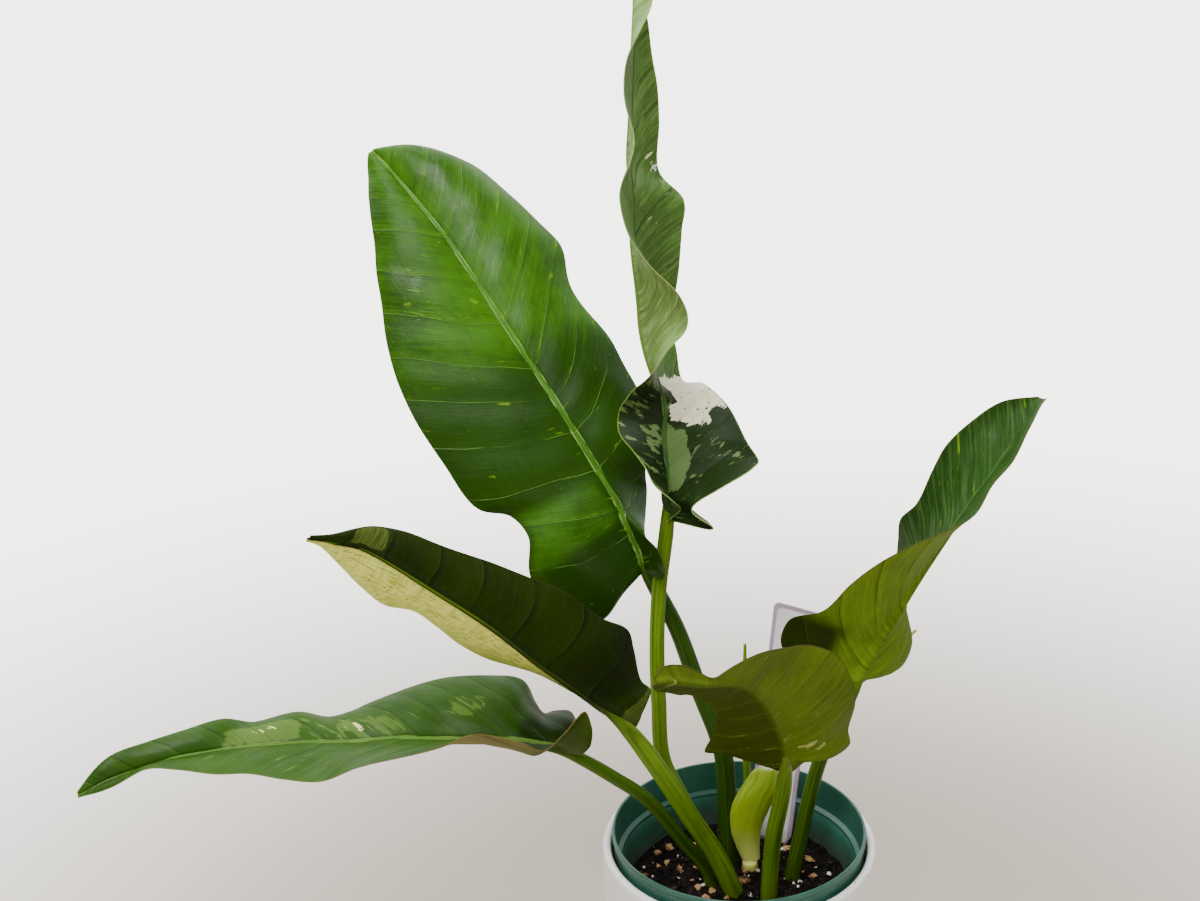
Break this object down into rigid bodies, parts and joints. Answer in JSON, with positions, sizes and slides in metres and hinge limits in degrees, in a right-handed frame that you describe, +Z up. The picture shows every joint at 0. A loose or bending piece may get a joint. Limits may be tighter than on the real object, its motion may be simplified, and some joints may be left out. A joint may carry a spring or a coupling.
{
  "type": "potted philodendron",
  "caption": "Potted philodendron with long waved variegated leaves on slender stalks, in a nursery pot set in a smooth round cover pot.",
  "frame": {"origin": "on the pots' axis, at the underside of the cover pot where it meets the table", "axes": "+Z up along the pots' axis, -Y towards the plant's front, +X to the right seen from the front"},
  "size_m": [0.5332, 0.2658, 0.6475],
  "materials": {
    "cover_pot": "smooth satin white glaze",
    "nursery_pot": "thin dark green moulded plastic",
    "soil": "loose dark potting mix with bark and pale crumbs",
    "leaf_broad_upper_left": "glossy mid green leaf with pale rib",
    "leaf_tall_twisted": "dark green leaf with grey sheen and a cream patch",
    "leaf_half_pale": "olive underside, one half cream",
    "leaf_low_left": "green leaf with pale flecks",
    "leaf_front_folded": "olive underside",
    "leaf_right_turned": "olive underside turning to green upper side",
    "new_leaf_spike": "rolled new leaf",
    "dried_sheath": "dry straw-coloured strip",
    "pale_sheath": "yellow-green sheath with a cream foot",
    "plant_label": "blank pale label"
  },
  "bodies": {
    "root": {"cover_pot": "cover_pot", "nursery_pot": "nursery_pot", "soil": "soil", "leaf_broad_upper_left": "leaf_broad_upper_left", "leaf_tall_twisted": "leaf_tall_twisted", "leaf_half_pale": "leaf_half_pale", "leaf_low_left": "leaf_low_left", "leaf_front_folded": "leaf_front_folded", "leaf_right_turned": "leaf_right_turned", "new_leaf_spike": "new_leaf_spike", "dried_sheath": "dried_sheath", "pale_sheath": "pale_sheath", "plant_label": "plant_label"}
  },
  "joints": []
}
